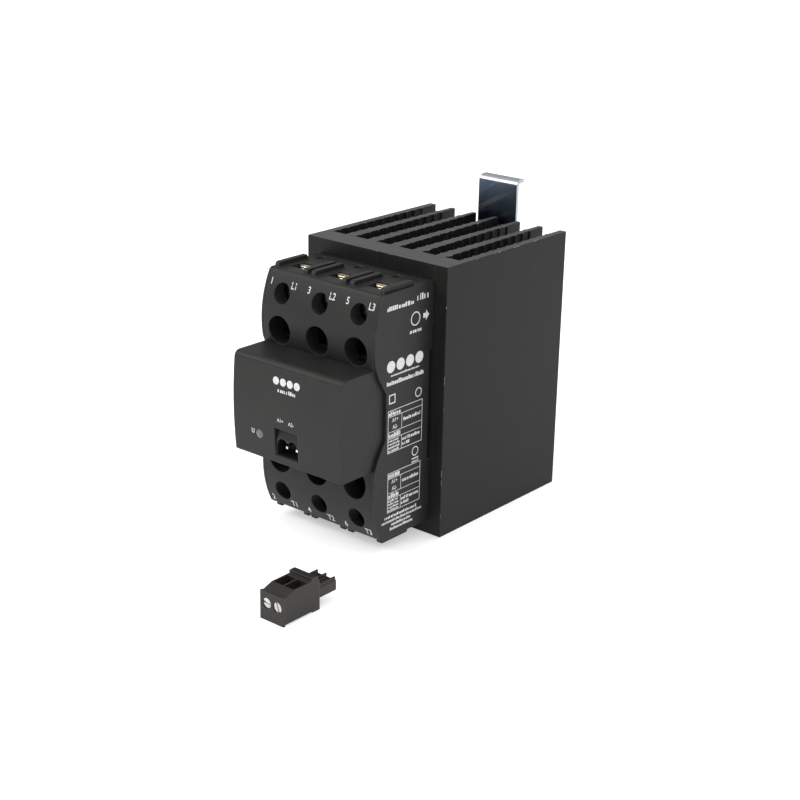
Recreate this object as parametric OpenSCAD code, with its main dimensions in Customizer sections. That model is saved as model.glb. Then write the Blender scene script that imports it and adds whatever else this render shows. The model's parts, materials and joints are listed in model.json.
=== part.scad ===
// Three-phase solid state relay on its heatsink, with the plug of its control input.
// The origin is the middle of the heatsink's bottom face. The terminals face -Y, +Z is up.

/* [Heatsink] */
// Width across the two outer plates
sink_w = 70; // [69:0.5:72]
// Height of the extrusion
sink_h = 108.5; // [106:0.5:120]
// Depth from the mounting face to the fin tips
sink_d = 76; // [70:1:90]
// Thickness of the base plate behind the mounting face
sink_base_t = 11; // [10:0.5:13]
// Thickness of each outer plate
side_plate_t = 3.3; // [2.5:0.1:4]
// Distance from fin to fin
fin_pitch = 11.3; // [11:0.1:11.4]
// Fin thickness at the base
fin_root_t = 4.7; // [3.5:0.1:5]
// Fin thickness at the tip
fin_tip_t = 2; // [1.6:0.1:2.6]
// Spacing of the small cooling ribs along a fin
rib_pitch = 5.2; // [4:0.1:7]
// Height of a cooling rib above the fin's side
rib_h = 0.55; // [0.3:0.05:0.8]

/* [Housing] */
// Width over the two side cheeks
house_w = 57.2; // [57:0.1:60]
// Height of the housing
house_h = 96.6; // [96:0.2:98]
// Height of the housing's middle above the floor
mid_z = 54.1; // [53:0.1:56]
// Depth of the terminal face in front of the heatsink
face_d = 32.7; // [32:0.1:34]
// Distance between two poles
pole_pitch = 19.2; // [19:0.1:19.3]
// Wall thickness of the mouldings
wall = 1.8; // [1.6:0.1:2]
// Thickness of a side cheek
cheek_t = 1.25; // [1:0.05:1.3]
// Depth of the frame that rests on the heatsink
frame_d = 2.8; // [2.4:0.1:3]

/* [Control nose] */
// Depth of the nose in front of the heatsink
nose_d = 49.5; // [48:0.1:52]
// Top of the nose, measured from the housing's middle
nose_top = 20.3; // [20:0.1:20.6]
// Bottom of the nose, measured from the housing's middle
nose_bottom = -19.1; // [-20:0.1:-18.6]
// Width of the socket window
window_w = 11.8; // [11.6:0.1:12.4]
// Sideways place of the status light
led_x = -13.8; // [-18:0.1:-10]

/* [Terminals] */
// Diameter of the wells over the clamp screws
small_well_dia = 8; // [7.6:0.1:8.2]
// Height of those wells above and below the housing's middle
small_well_h = 40.1; // [40:0.1:40.4]
// Diameter of the wells over the busbar screws
large_well_dia = 11.2; // [10.6:0.1:11.2]
// Height of those wells above and below the housing's middle
large_well_h = 26.1; // [26:0.1:26.3]
// Thread diameter of a clamp screw
clamp_screw_dia = 4; // [3:0.5:4]
// How far a clamp washer travels from open to closed
clamp_travel = 3; // [1:0.1:3.2]

/* [Rail clip] */
// Width of the sliding latch
latch_w = 19.5; // [18:0.5:20]
// Sideways place of the latch
latch_x = -1; // [-2:0.1:2]
// Height of the latch's bent lip above the floor
latch_top = 124.6; // [118:0.1:126]
// Thickness of the steel sheet
sheet_t = 1.5; // [1.2:0.1:1.6]
// Width of the mounting rail
rail_w = 35; // [35]
// Travel of the latch
latch_travel = 5; // [3:0.5:5]

/* [Plug] */
// Sideways place of the plug on the floor
plug_x = 35.7; // [30:0.1:50]
// Place of the plug's front plate
plug_front_y = -131.7; // [-140:0.1:-128]
// Contact spacing of plug and socket
pin_pitch = 5.08; // [5.08]
// Width of the plug
plug_w = 10.8; // [10.6:0.1:11.2]

/* [Hidden] */
$fn = 96;
eps = 0.01;
gap = 0.15;

// Planes of the stack, from the heatsink forwards
face_y = -sink_d / 2;
fin_y0 = face_y + sink_base_t;
tip_y = sink_d / 2;
pad_t = 0.4;
plate_y = face_y - pad_t;
plate_t = 3;
tile_t = 1;
chip_t = 0.6;
tile_y = plate_y - plate_t;
potting_y0 = tile_y - tile_t - chip_t;
potting_t = 4;
post_y = -53.2;
bar_t = 1.5;
bar_y = post_y - bar_t;
half_h = house_h / 2;
cover_w = house_w - 2 * (cheek_t + gap);
arc_r = 40.2;
arc_d = face_d - arc_r;
arc_h = 29;
edge_r = 2;
edge_c = [arc_d + sqrt(pow(arc_r - edge_r, 2) - pow(half_h - edge_r - arc_h, 2)), half_h - edge_r];
edge_dir = (edge_c - [arc_d, arc_h]) / (arc_r - edge_r);
front_d = 26;
ridge_t = 1.9;
ridge_x = [-cover_w / 2 + ridge_t / 2, -pole_pitch / 2 - 2, -pole_pitch / 2 + 2,
    pole_pitch / 2 - 2, pole_pitch / 2 + 2, cover_w / 2 - ridge_t / 2];
module_room_d = 9.3;
pole_x = [-pole_pitch, 0, pole_pitch];

// Nose
bow_r = 181;
nose_mid = (nose_top + nose_bottom) / 2;
window_h0 = -16.2;
window_h1 = -5.1;
pin_h = -13.2;
board_d0 = 38.8;
board_d1 = 40.4;
header_front_d = 48.5;

// Clamps
washer_t = 1.2;
washer_y = -58.8;
head_t = 2.6;
clamp_thread_l = 10;

// Rail clip
rail_z = sink_h / 2;
latch_y0 = tip_y + sheet_t + 0.1;
screw_x = 1.5 * fin_pitch;
bracket_z = [rail_z - 30, rail_z + 34];
spring_dia = 4;
spring_y = tip_y + 2.3;
spring_z = [77.1, 96.2];

// Plug
plug_y0 = plug_front_y + 0.9;
plug_y1 = plug_front_y + 18.6;
plug_tip_y = plug_front_y + 27.7;
plug_axis_z = 6.2;
plug_screw_z = 6.6;

// A box from its lowest to its highest corner
module slab(lo, hi) translate(lo) cube(hi - lo);

// A round bar along Y between two places
module bar_y_dir(x, y0, y1, z, r) translate([x, y0, z]) rotate([-90, 0, 0]) cylinder(h = y1 - y0, r = r);

// An outline of (depth, height) drawn from x0 to x1, seen from the side
module from_side(x0, x1)
    translate([x0, face_y, mid_z]) rotate([90, 0, 90]) linear_extrude(x1 - x0) mirror([1, 0]) children();

// Children drawn for the upper row of terminals, and mirrored for the lower row
module both_rows() for (s = [0, 1]) translate([0, 0, mid_z]) mirror([0, 0, s]) children();

// Children drawn for terminal n: 1 to 3 above, 4 to 6 below
module at_terminal(n)
    translate([pole_x[(n - 1) % 3], 0, mid_z]) mirror([0, 0, n > 3 ? 1 : 0]) children();

// The corner that a round edge of radius r leaves off, towards +x and +y
module corner_off(x, y, r) difference() {
    translate([x - r, y - r]) square([r + 1, r + 1]);
    translate([x - r, y - r]) circle(r = r);
}

// Side of a fin or plate: points of the ribbed line from its root to its tip
function rib_side(x0, x1, s) = [for (i = [0 : rib_count - 1]) let (y = fin_y0 + rib_pitch * (i + 0.7))
    each [for (q = [[-0.8, 0], [-0.35, 1], [0.35, 1], [0.8, 0]])
        [x0 + (x1 - x0) * (y - fin_y0) / (tip_y - fin_y0) + s * q[1] * rib_h, y + q[0]]]];
rib_count = floor((tip_y - fin_y0 - 7) / rib_pitch);

module fin_outline(x) translate([x, 0]) polygon(concat(
    [[-fin_root_t / 2, fin_y0 - eps]],
    rib_side(-fin_root_t / 2, -fin_tip_t / 2, -1),
    [[-fin_tip_t / 2, tip_y], [fin_tip_t / 2, tip_y]],
    [for (i = [4 * rib_count - 1 : -1 : 0]) rib_side(fin_root_t / 2, fin_tip_t / 2, 1)[i]],
    [[fin_root_t / 2, fin_y0 - eps]]));

module plate_outline(s) mirror([s > 0 ? 0 : 1, 0]) polygon(concat(
    [[sink_w / 2, fin_y0 - eps], [sink_w / 2, tip_y], [sink_w / 2 - side_plate_t + 0.3, tip_y]],
    [for (i = [4 * rib_count - 1 : -1 : 0])
        rib_side(sink_w / 2 - side_plate_t, sink_w / 2 - side_plate_t + 0.3, -1)[i]],
    [[sink_w / 2 - side_plate_t, fin_y0 - eps]]));

module heatsink() color([0.16, 0.155, 0.15]) difference() {
    linear_extrude(sink_h) {
        translate([-sink_w / 2, face_y]) square([sink_w, sink_base_t]);
        for (i = [-2 : 2]) fin_outline(i * fin_pitch);
        for (s = [-1, 1]) plate_outline(s);
    }
    module_screw_places() bar_y_dir(0, face_y - 1, face_y + 9, 0, 2.05);
    bracket_screw_places() bar_y_dir(0, fin_y0 - 9, fin_y0 + 1, 0, 2.05);
}

// Power module, from the heatsink forwards

module module_screw_places()
    for (x = [-21, 21]) for (h = [-41, 41]) translate([x, 0, mid_z + h]) children();

module plate_shape(w, h, y, t) slab([-w / 2, y - t, mid_z - h / 2], [w / 2, y, mid_z + h / 2]);

module thermal_pad() color([0.62, 0.63, 0.66]) difference() {
    plate_shape(49.4, 88.6, face_y, pad_t);
    module_screw_places() bar_y_dir(0, plate_y - 1, face_y + 1, 0, 2.5);
}

module base_plate() color([0.8, 0.78, 0.74]) difference() {
    plate_shape(50.2, 89.6, plate_y, plate_t);
    module_screw_places() bar_y_dir(0, tile_y - 1, plate_y + 1, 0, 2.25);
}

module ceramic_tiles() color([0.93, 0.93, 0.9])
    for (x = pole_x) translate([x, 0, 0]) plate_shape(11.4, 68, tile_y, tile_t);

module thyristor_chips() color([0.3, 0.32, 0.36])
    for (x = pole_x) both_rows() slab([x - 5, potting_y0, 3], [x + 5, tile_y - tile_t, 13]);

module terminal_posts() color([0.8, 0.66, 0.36]) for (x = pole_x) both_rows() difference() {
    bar_y_dir(x, post_y, tile_y - tile_t, large_well_h, 4.3);
    bar_y_dir(x, post_y - 1, post_y + 8.5, large_well_h, 2.55);
}

module resin_potting() color([0.12, 0.12, 0.13]) difference() {
    plate_shape(49, 73, potting_y0, potting_t);
    for (x = pole_x) both_rows() {
        bar_y_dir(x, potting_y0 - potting_t - 1, potting_y0 + 1, large_well_h, 4.35);
        bar_y_dir(x, potting_y0 - potting_t - 1, potting_y0 + 1, 8, 0.5);
    }
}

module pan_screw(head_y, head_r, h, r, l) {
    bar_y_dir(0, head_y - h, head_y, 0, head_r);
    bar_y_dir(0, head_y - eps, head_y + l, 0, r);
}

// Cross recess of a driver
module cross_recess(y, w) for (a = [0, 90]) translate([0, y, 0]) rotate([0, a, 0])
    slab([-w / 2, -1, -w / 6], [w / 2, 1.3, w / 6]);

module module_screws() color([0.75, 0.76, 0.78]) module_screw_places() difference() {
    pan_screw(tile_y, 4, 2.6, 2, 11);
    cross_recess(tile_y - 2.6, 4.2);
}

module busbar_screws() color([0.75, 0.76, 0.78]) for (x = pole_x) both_rows()
    translate([x, 0, large_well_h]) difference() {
        pan_screw(bar_y, 4.7, 3, 2.5, 9);
        cross_recess(bar_y - 3, 5);
    }

// Housing frame with its two side cheeks

// Side outline over one row of terminals: flat above, round in front
module row_outline() difference() {
    intersection() {
        square([face_d, half_h]);
        translate([arc_d, arc_h]) circle(r = arc_r);
    }
    difference() {
        polygon([edge_c, edge_c + [0, 4], edge_c + [4, 4], edge_c + 4 * edge_dir]);
        translate(edge_c) circle(r = edge_r);
    }
}

module notch_outline() translate([0, 1.2])
    polygon([[40, -24], [32.5, -21.9], [29.8, -15.3], [25.8, -9],
        [25.8, 9], [29.8, 15.3], [32.5, 21.9], [40, 24]]);

module ridge_outline(h0, h1)
    polygon([[9.8, h0], [10.9, h1], [25.4, h1], [26.1, h1 - 0.4],
        [26.4, h1 - 1], [26.4, h0 - 1], [9.8, h0 - 1]]);

module cheek_outline() difference() {
    union() {
        row_outline();
        mirror([0, 1]) row_outline();
        translate([0, -22]) square([face_d - 0.6, 44]);
    }
    notch_outline();
}

module snap_hook(x) {
    slab([x - 1.3, face_y - 6.8, half_h - 3.2], [x + 1.3, face_y - frame_d + eps, half_h - wall - 0.1]);
    slab([x - 1.3, face_y - 6.8, half_h - 2], [x + 1.3, face_y - 4.4, half_h - 0.5]);
    slab([x - 1.3, face_y - frame_d, half_h - 3.2], [x + 1.3, face_y - 0.5, half_h - 1]);
}

module housing_frame() color([0.2, 0.2, 0.2]) difference() {
    union() {
        for (s = [0, 1]) mirror([s, 0, 0])
            from_side(house_w / 2 - cheek_t, house_w / 2) cheek_outline();
        difference() {
            slab([-house_w / 2, face_y - frame_d, mid_z - half_h], [house_w / 2, face_y, mid_z + half_h]);
            slab([-26, face_y - frame_d - 1, mid_z - 46], [26, face_y + 1, mid_z + 46]);
        }
        both_rows() for (x = pole_x) snap_hook(x - 3.75);
    }
    for (s = [-1, 1]) translate([s * house_w / 2, 0, 0])
        slab([-1, face_y - 1.4, 32], [1, face_y + 1, 76]);
}

// Covers with the terminal wells and the conductor slots, and the control nose between them

module nose_outline(inset) difference() {
    intersection() {
        translate([0, nose_bottom + inset]) square([nose_d - inset, nose_top - nose_bottom - 2 * inset]);
        translate([nose_d - bow_r, nose_mid]) circle(r = bow_r - inset, $fn = 720);
    }
    if (inset == 0) corner_off(nose_d - 0.9, nose_top, 2.4);
}

// Hollow behind one pole's terminal face, and its side of the room for the power module
module pole_hollow(x0, x1, split_h) from_side(x0, x1) {
    translate([-1, split_h + 2]) square([front_d + 1, half_h - wall - split_h - 2]);
    translate([-1, split_h - 1]) square([21.2, half_h - wall - split_h + 1]);
}

// Cover of the upper row of terminals, above the nose
module row_cover(split_h) difference() {
    union() {
        from_side(-cover_w / 2, cover_w / 2) difference() {
            row_outline();
            translate([-1, -1]) square([frame_d + gap + 1, half_h + 2]);
            translate([-1, -1]) square([face_d + 2, 1 + split_h]);
        }
        for (x = ridge_x) from_side(x - ridge_t / 2, x + ridge_t / 2) ridge_outline(half_h, half_h + 2);
    }
    pole_hollow(-cover_w / 2 + wall, -pole_pitch / 2 - 1.2, split_h);
    pole_hollow(-pole_pitch / 2 + 1.2, pole_pitch / 2 - 1.2, split_h);
    pole_hollow(pole_pitch / 2 + 1.2, cover_w / 2 - wall, split_h);
    from_side(-cover_w / 2 + wall, cover_w / 2 - wall)
        translate([-1, split_h - 1]) square([module_room_d + 1, half_h - wall - split_h + 1]);
    for (x = pole_x) {
        bar_y_dir(x, face_y - 45, face_y - front_d + 1, mid_z + small_well_h, small_well_dia / 2);
        bar_y_dir(x, face_y - 45, face_y - front_d + 1, mid_z + large_well_h, large_well_dia / 2);
        slab([x - 4.6, face_y - 22.2, mid_z + half_h - wall - 1],
            [x + 4.6, face_y - 14.9, mid_z + half_h + 3]);
        slab([x - 5.35, face_y - 7.4, mid_z + half_h - wall - 1],
            [x - 2.15, face_y - 3.9, mid_z + half_h + 1]);
    }
}

module terminal_cover_top() color([0.2, 0.2, 0.2]) row_cover(nose_top);

module terminal_cover_bottom() color([0.2, 0.2, 0.2])
    translate([0, 0, 2 * mid_z]) mirror([0, 0, 1]) row_cover(-nose_bottom);

// Control nose between the two rows, open towards the power module
module control_cover() color([0.2, 0.2, 0.2]) difference() {
    union() {
        difference() {
            from_side(-cover_w / 2, cover_w / 2) difference() {
                nose_outline(0);
                translate([-1, nose_bottom - 1]) square([frame_d + gap + 1, nose_top - nose_bottom + 2]);
            }
            from_side(-cover_w / 2 + wall, cover_w / 2 - wall) {
                nose_outline(wall);
                translate([-1, nose_bottom - 1]) square([21.2, nose_top - nose_bottom + 2]);
            }
        }
        slab([-7.6, face_y - 47, mid_z + nose_bottom - 0.9], [-2.4, face_y - 45.4, mid_z + nose_bottom + 1]);
        for (p = board_screw_places)
            bar_y_dir(p[0], face_y - nose_d + 1.5, face_y - board_d1, mid_z + p[1], 2.6);
    }
    slab([-window_w / 2, face_y - nose_d - 1, mid_z + window_h0],
        [window_w / 2, face_y - 45, mid_z + window_h1]);
    bar_y_dir(led_x, face_y - nose_d - 1, face_y - 45, 44.5, 1.8);
    for (p = board_screw_places)
        bar_y_dir(p[0], face_y - nose_d + 2.6, face_y - board_d1 + 1, mid_z + p[1], 1.15);
}

// Terminals

module busbar(n) color([0.86, 0.76, 0.52]) at_terminal(n) difference() {
    union() {
        slab([-4.3, bar_y, large_well_h - 6], [4.3, post_y, half_h - 0.5]);
        for (h = [small_well_h + 3.4 : 0.9 : half_h - 0.9]) translate([-4.1, bar_y, h]) rotate([0, 90, 0])
            cylinder(h = 8.2, r = 0.28, $fn = 4);
    }
    bar_y_dir(0, bar_y - 1, post_y + 1, small_well_h, clamp_screw_dia / 2 + 0.05);
    bar_y_dir(0, bar_y - 1, post_y + 1, large_well_h, 2.7);
}

module terminal_nuts() color([0.75, 0.76, 0.78]) for (n = [1 : 6]) at_terminal(n) difference() {
    slab([-3.5, post_y, small_well_h - 3.5], [3.5, post_y + 2.2, small_well_h + 3.5]);
    bar_y_dir(0, post_y - 1, post_y + 4, small_well_h, clamp_screw_dia / 2 + 0.05);
}

module clamp_washer(n) color([0.78, 0.79, 0.8]) at_terminal(n) difference() {
    union() {
        slab([-4.2, washer_y - washer_t, small_well_h - 4], [4.2, washer_y, small_well_h + 4]);
        for (s = [-1, 1]) slab([s * 3.8 - 0.4, washer_y - eps, small_well_h - 4],
            [s * 3.8 + 0.4, washer_y + 0.5, small_well_h + 4]);
    }
    bar_y_dir(0, washer_y - 3, washer_y + 3, small_well_h, clamp_screw_dia / 2 + 0.05);
}

module clamp_screw(n) color([0.78, 0.79, 0.8])
    at_terminal(n) translate([0, 0, small_well_h]) difference() {
        pan_screw(washer_y - washer_t, 3.5, head_t, clamp_screw_dia / 2, clamp_thread_l);
        cross_recess(washer_y - washer_t - head_t, 4);
    }

// Control electronics

board_screw_places = [[-pole_pitch / 2, 14.4], [pole_pitch / 2, -12.6]];

module control_board() color([0.1, 0.36, 0.2]) difference() {
    slab([-24.6, face_y - board_d1, mid_z - 16.6], [24.6, face_y - board_d0, mid_z + 17.8]);
    for (p = board_screw_places) bar_y_dir(p[0], face_y - 42, face_y - 37, mid_z + p[1], 1.4);
    for (x = pole_x) both_rows() bar_y_dir(x, face_y - 42, face_y - 37, 8, 0.5);
    header_pin_places() slab([-0.55, face_y - 42, -0.55], [0.55, face_y - 37, 0.55]);
}

module board_screws() color([0.75, 0.76, 0.78]) for (p = board_screw_places)
    translate([p[0], 0, mid_z + p[1]]) mirror([0, 1, 0]) difference() {
        pan_screw(-(face_y - board_d0), 2.2, 1.6, 1.1, 7);
        cross_recess(-(face_y - board_d0) - 1.6 - 0.5, 2.4);
    }

module gate_pins() color([0.85, 0.72, 0.4]) for (x = pole_x) both_rows()
    bar_y_dir(x, face_y - board_d1 + 0.1, potting_y0, 8, 0.4);

module optocoupler(n) color([0.9, 0.9, 0.88]) translate([pole_x[n - 1], face_y - board_d0, mid_z]) {
    slab([-3.2, 0.6, -4.5], [3.2, 4.1, 4.5]);
    for (s = [-1, 1]) for (h = [-2.54, 0, 2.54])
        slab([s * 3.6 - 0.45, 0, h - 0.3], [s * 3.6 + 0.45, 2.2, h + 0.3]);
}

module snubber_capacitors() color([0.78, 0.3, 0.16])
    for (x = pole_x) translate([x, face_y - board_d0, mid_z + 14]) slab([-5, 0, -2.8], [5, 10.5, 2.8]);

module snubber_resistors() color([0.55, 0.66, 0.72])
    for (x = pole_x) translate([x - 4.5, face_y - board_d0 + 2.2, mid_z - 10.9]) rotate([0, 90, 0]) {
        cylinder(h = 9, r = 1.7);
        for (z = [-0.9, 8.9]) translate([0, 0, z]) cylinder(h = 1, r = 0.35);
        for (z = [-0.9, 9.2]) translate([-0.35, -2.2, z]) cube([0.7, 2.4, 0.7]);
    }

module header_pin_places() for (s = [-1, 1]) translate([s * pin_pitch / 2, 0, mid_z + pin_h]) children();

// Opening of the socket: flat below, with two round tops and a short web between them
module socket_outline() {
    translate([-5.35, -15.9]) square([10.7, 4.3]);
    translate([-pin_pitch / 2, -12]) square([pin_pitch, 1.8]);
    for (s = [-1, 1]) translate([s * pin_pitch / 2, -11.6]) circle(r = 2.5);
}

module input_header() color([0.17, 0.17, 0.17]) difference() {
    slab([-window_w / 2 + 0.1, face_y - header_front_d, mid_z + window_h0 + 0.1],
        [window_w / 2 - 0.1, face_y - board_d1, mid_z + window_h1 - 0.1]);
    translate([0, face_y - 42.4, mid_z]) rotate([90, 0, 0]) linear_extrude(10) socket_outline();
    header_pin_places() slab([-0.5, face_y - 45, -0.5], [0.5, face_y - 38, 0.5]);
    // Slope above the opening, deepest at the window's top edge
    from_side(-window_w, window_w)
        polygon([[header_front_d, -9.2], [header_front_d - 1.2, window_h1], [50, window_h1], [50, -9.2]]);
}

module header_pins() color([0.85, 0.72, 0.4]) header_pin_places()
    slab([-0.5, face_y - 46.1, -0.5], [0.5, face_y - 37.6, 0.5]);

module status_led() color([0.85, 0.9, 0.85])
    translate([led_x, face_y - board_d1, 44.5]) rotate([90, 0, 0]) {
        cylinder(h = 0.8, r = 1.9);
        cylinder(h = 2.2, r = 1.5);
    }

module light_pipe() color([0.62, 0.62, 0.6]) {
    bar_y_dir(led_x, face_y - nose_d + 0.35, face_y - 42.8, 44.5, 1.72);
    bar_y_dir(led_x, face_y - 46.6, face_y - 45.6, 44.5, 2.4);
    intersection() {
        translate([led_x, face_y - nose_d + 4.2, 44.5]) sphere(r = 4.2);
        bar_y_dir(led_x, face_y - nose_d - 0.5, face_y - nose_d + 1, 44.5, 1.72);
    }
}

// Clip for the mounting rail

module bracket_screw_places()
    for (x = [-screw_x, screw_x]) for (z = bracket_z) translate([x, 0, z]) children();

module sheet(x0, x1, z0, z1) slab([x0, tip_y, z0], [x1, tip_y + sheet_t, z1]);

module bracket_guide(z) {
    guide_x = latch_w / 2 + 0.3;
    guide_y = latch_y0 + sheet_t + 0.3;
    for (s = [0, 1]) mirror([s, 0, 0]) {
        slab([guide_x, tip_y, z], [guide_x + sheet_t, guide_y + sheet_t, z + 4]);
        slab([guide_x - 2.3, guide_y, z], [guide_x + sheet_t, guide_y + sheet_t, z + 4]);
    }
}

module rail_hook(x0, x1) {
    slab([x0, tip_y, rail_z - rail_w / 2 - sheet_t], [x1, tip_y + 4.6, rail_z - rail_w / 2]);
    slab([x0, tip_y + 3.1, rail_z - rail_w / 2 - sheet_t], [x1, tip_y + 4.6, rail_z - rail_w / 2 + 2.5]);
}

module rail_bracket() color([0.78, 0.8, 0.84]) difference() {
    union() {
        sheet(-screw_x - 5, screw_x + 5, bracket_z[0] - 6, bracket_z[1] + 5);
        rail_hook(-20, -11);
        rail_hook(11, 20);
        translate([latch_x, 0, 0]) {
            sheet(-latch_w / 2 - 1.8, latch_w / 2 + 1.8, bracket_z[1], 104);
            bracket_guide(80.5);
            bracket_guide(98.5);
            slab([-2.4, tip_y, spring_z[1]], [2.4, latch_y0 + 2.8, spring_z[1] + sheet_t]);
        }
    }
    bracket_screw_places() bar_y_dir(0, tip_y - 1, tip_y + 4, 0, 2.15);
    translate([latch_x, 0, 0]) slab([-2.5, tip_y - 1, 75], [2.5, tip_y + 2, spring_z[1]]);
    for (x = [-20, 11]) slab([x, tip_y - 1, rail_z - rail_w / 2 + 0.1],
        [x + 9, tip_y + sheet_t + eps, rail_z - rail_w / 2 + 4]);
}

module bracket_screws() color([0.75, 0.76, 0.78]) bracket_screw_places() mirror([0, 1, 0]) difference() {
    pan_screw(-tip_y - sheet_t, 3.8, 2.6, 2, sink_d - sink_base_t + sheet_t + 8);
    cross_recess(-tip_y - sheet_t - 2.6, 4.2);
}

// Latch seen from the side: strip, bent lip above and stepped hook below
module latch_outline() {
    hook_z = rail_z + rail_w / 2;
    translate([latch_y0, hook_z + 0.9]) square([sheet_t, latch_top - 2.5 - hook_z - 0.9]);
    translate([latch_y0 + 2.5, latch_top - 2.5]) difference() {
        intersection() {
            circle(r = 2.5);
            translate([-3, 0]) square([3, 3]);
        }
        circle(r = 2.5 - sheet_t);
    }
    translate([latch_y0 + 2.5, latch_top - sheet_t]) square([2.3, sheet_t]);
    translate([latch_y0, hook_z + 0.9]) square([1.3 + sheet_t, sheet_t]);
    translate([latch_y0 + 1.3, hook_z - 2.7]) square([sheet_t, 3.7]);
}

module rail_latch() color([0.8, 0.82, 0.86]) translate([latch_x, 0, 0]) difference() {
    translate([-latch_w / 2, 0, 0]) rotate([90, 0, 90]) linear_extrude(latch_w) latch_outline();
    slab([-3, tip_y - 1, spring_z[0] - 0.1], [3, tip_y + 5, spring_z[1] + sheet_t + 1.5]);
}

module latch_spring() color([0.7, 0.72, 0.75]) translate([latch_x, 0, 0]) difference() {
    translate([0, spring_y, spring_z[0]]) cylinder(h = spring_z[1] - spring_z[0], r = spring_dia / 2);
    translate([0, spring_y, spring_z[0] - 1])
        cylinder(h = spring_z[1] - spring_z[0] + 2, r = spring_dia / 2 - 0.6);
}

// Plug of the control input, lying on the floor beside the relay

module plug_places() for (s = [-1, 1]) translate([plug_x + s * pin_pitch / 2, 0, 0]) children();

module at_plug(n) translate([plug_x + (n == 1 ? -1 : 1) * pin_pitch / 2, 0, 0]) children();

module plug_side_outline()
    polygon([[plug_y0, 0.5], [plug_y0, 10.6], [plug_y0 + 4.7, 12.2], [plug_y1 - 4.2, 12.2],
        [plug_y1 - 4.2, 13.4], [plug_y1 - 1.4, 13.4], [plug_y1 - 0.5, 11.6],
        [plug_y1, 11.2], [plug_y1, 0], [plug_y1 - 3.6, 0], [plug_y1 - 4.4, 0.5]]);

module plug_housing() color([0.19, 0.18, 0.17]) difference() {
    union() {
        slab([plug_x - plug_w / 2 - 0.2, plug_front_y, 0],
            [plug_x + plug_w / 2 + 0.2, plug_y0 + eps, 11]);
        translate([plug_x - plug_w / 2, 0, 0]) rotate([90, 0, 90])
            linear_extrude(plug_w) plug_side_outline();
        slab([plug_x - 4.9, plug_y1 - 1, 4.1], [plug_x + 4.9, plug_tip_y, 7.9]);
        for (x = [-4.15, 0, 4.15])
            slab([plug_x + x - 0.35, plug_y1 - 1, 7], [plug_x + x + 0.35, plug_tip_y, 9.1]);
    }
    plug_places() {
        bar_y_dir(0, plug_front_y - 1, plug_front_y + 1.7, plug_screw_z, 2.05);
        bar_y_dir(0, plug_front_y + 1, plug_front_y + 4, plug_screw_z, 1.55);
        slab([-2.25, plug_front_y + 2.55, 3.9], [2.25, plug_front_y + 12.9, 9.3]);
        slab([-2.25, plug_front_y + 5.9, 3], [2.25, plug_front_y + 12.9, 13]);
        slab([-1.25, plug_front_y + 6.6, 1.9], [1.25, plug_front_y + 14.9, 4]);
        slab([-1.25, plug_front_y + 13.7, 1.9], [1.25, plug_front_y + 26.6, 7.45]);
        bar_y_dir(0, plug_front_y + 26, plug_tip_y + 1, plug_axis_z, 0.9);
    }
}

module plug_contact(n) color([0.84, 0.78, 0.6]) at_plug(n) {
    slab([-1, plug_front_y + 6.9, 2.2], [1, plug_front_y + 7.7, 8.6]);
    slab([-1, plug_front_y + 6.9, 2.2], [1, plug_front_y + 14.6, 3]);
    slab([-1, plug_front_y + 13.9, 2.2], [1, plug_front_y + 14.6, 7.4]);
    for (s = [-1, 1]) slab([-1, plug_front_y + 14, plug_axis_z + s * 0.85 - 0.3],
        [1, plug_front_y + 26.2, plug_axis_z + s * 0.85 + 0.3]);
}

module plug_clamp(n) color([0.8, 0.8, 0.78]) at_plug(n) difference() {
    slab([-2.05, plug_front_y + 5.3, 4.2], [2.05, plug_front_y + 12.5, 9]);
    slab([-1.52, plug_front_y + 6.6, 3], [1.52, plug_front_y + 11.3, 10]);
    bar_y_dir(0, plug_front_y + 5, plug_front_y + 7, plug_screw_z, 1.5);
}

module plug_screw(n) color([0.8, 0.8, 0.78]) at_plug(n) difference() {
    union() {
        bar_y_dir(0, plug_front_y + 0.4, plug_front_y + 1.6, plug_screw_z, 1.9);
        bar_y_dir(0, plug_front_y + 1.5, plug_front_y + 6.8, plug_screw_z, 1.45);
    }
    translate([0, plug_front_y, plug_screw_z]) rotate([0, n == 1 ? 8 : 70, 0])
        slab([-2.5, -1, -0.3], [2.5, 1, 0.3]);
}

heatsink();
thermal_pad();
base_plate();
ceramic_tiles();
thyristor_chips();
resin_potting();
terminal_posts();
module_screws();
housing_frame();
terminal_cover_top();
control_cover();
terminal_cover_bottom();
busbar(1);  // busbar_1
busbar(2);  // busbar_2
busbar(3);  // busbar_3
busbar(4);  // busbar_4
busbar(5);  // busbar_5
busbar(6);  // busbar_6
busbar_screws();
terminal_nuts();
clamp_washer(1);  // clamp_washer_1
clamp_washer(2);  // clamp_washer_2
clamp_washer(3);  // clamp_washer_3
clamp_washer(4);  // clamp_washer_4
clamp_washer(5);  // clamp_washer_5
clamp_washer(6);  // clamp_washer_6
clamp_screw(1);  // clamp_screw_1
clamp_screw(2);  // clamp_screw_2
clamp_screw(3);  // clamp_screw_3
clamp_screw(4);  // clamp_screw_4
clamp_screw(5);  // clamp_screw_5
clamp_screw(6);  // clamp_screw_6
control_board();
board_screws();
gate_pins();
optocoupler(1);  // optocoupler_1
optocoupler(2);  // optocoupler_2
optocoupler(3);  // optocoupler_3
snubber_capacitors();
snubber_resistors();
input_header();
header_pins();
status_led();
light_pipe();
rail_bracket();
bracket_screws();
rail_latch();
latch_spring();
plug_housing();
plug_contact(1);  // plug_contact_1
plug_contact(2);  // plug_contact_2
plug_clamp(1);  // plug_clamp_1
plug_clamp(2);  // plug_clamp_2
plug_screw(1);  // plug_screw_1
plug_screw(2);  // plug_screw_2
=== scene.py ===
"""Looks of a solid state relay on its heatsink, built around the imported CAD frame.

Lengths are in metres. The relay's terminals face -Y and +Z is up.
"""

import json
import math
import random

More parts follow.
